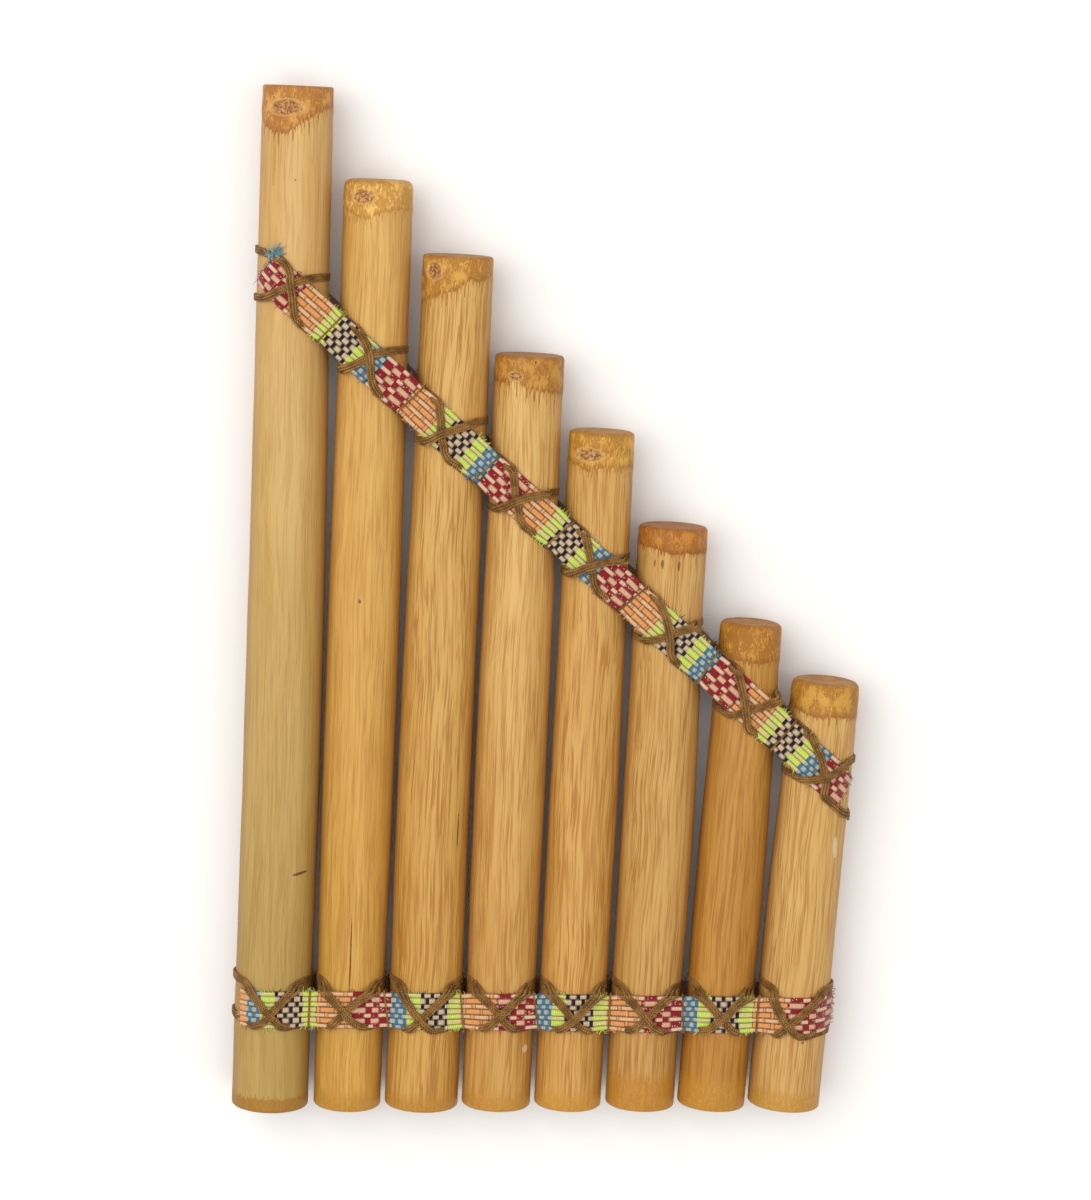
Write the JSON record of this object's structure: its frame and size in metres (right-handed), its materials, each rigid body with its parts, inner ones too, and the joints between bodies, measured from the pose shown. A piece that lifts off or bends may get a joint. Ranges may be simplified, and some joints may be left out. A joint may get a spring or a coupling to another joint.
{
  "type": "pan flute",
  "caption": "Raft of stopped bamboo canes in descending lengths, tied front and back with woven ribbons and crossed cord lashings, blown across the open mouths",
  "frame": {"origin": "middle of the box round the whole flute, at the lowest point of the lashings on its back face", "axes": "+X from the longest cane to the shortest, +Y from the mouths to the closed ends, +Z out of the front face"},
  "size_m": [0.1846, 0.3, 0.0293],
  "materials": {
    "bamboo": "scraped and oiled bamboo with brown scorched ends",
    "woven_ribbon": "warp-faced woven ribbon in red, orange, lime, black and blue blocks",
    "cord": "twisted brown waxed cord"
  },
  "bodies": {
    "root": {"cane_1": "bamboo", "cane_2": "bamboo", "cane_3": "bamboo", "cane_4": "bamboo", "cane_5": "bamboo", "cane_6": "bamboo", "cane_7": "bamboo", "cane_8": "bamboo", "upper_lashing_1": "cord", "lower_lashing_1": "cord", "upper_lashing_2": "cord", "lower_lashing_2": "cord", "upper_lashing_3": "cord", "lower_lashing_3": "cord", "upper_lashing_4": "cord", "lower_lashing_4": "cord", "upper_lashing_5": "cord", "lower_lashing_5": "cord", "upper_lashing_6": "cord", "lower_lashing_6": "cord", "upper_lashing_7": "cord", "lower_lashing_7": "cord", "upper_lashing_8": "cord", "lower_lashing_8": "cord", "front_upper_ribbon": "woven_ribbon", "front_upper_turns": "cord", "front_lower_ribbon": "woven_ribbon", "front_lower_turns": "cord", "back_upper_ribbon": "woven_ribbon", "back_upper_turns": "cord", "back_lower_ribbon": "woven_ribbon", "back_lower_turns": "cord"}
  },
  "joints": []
}
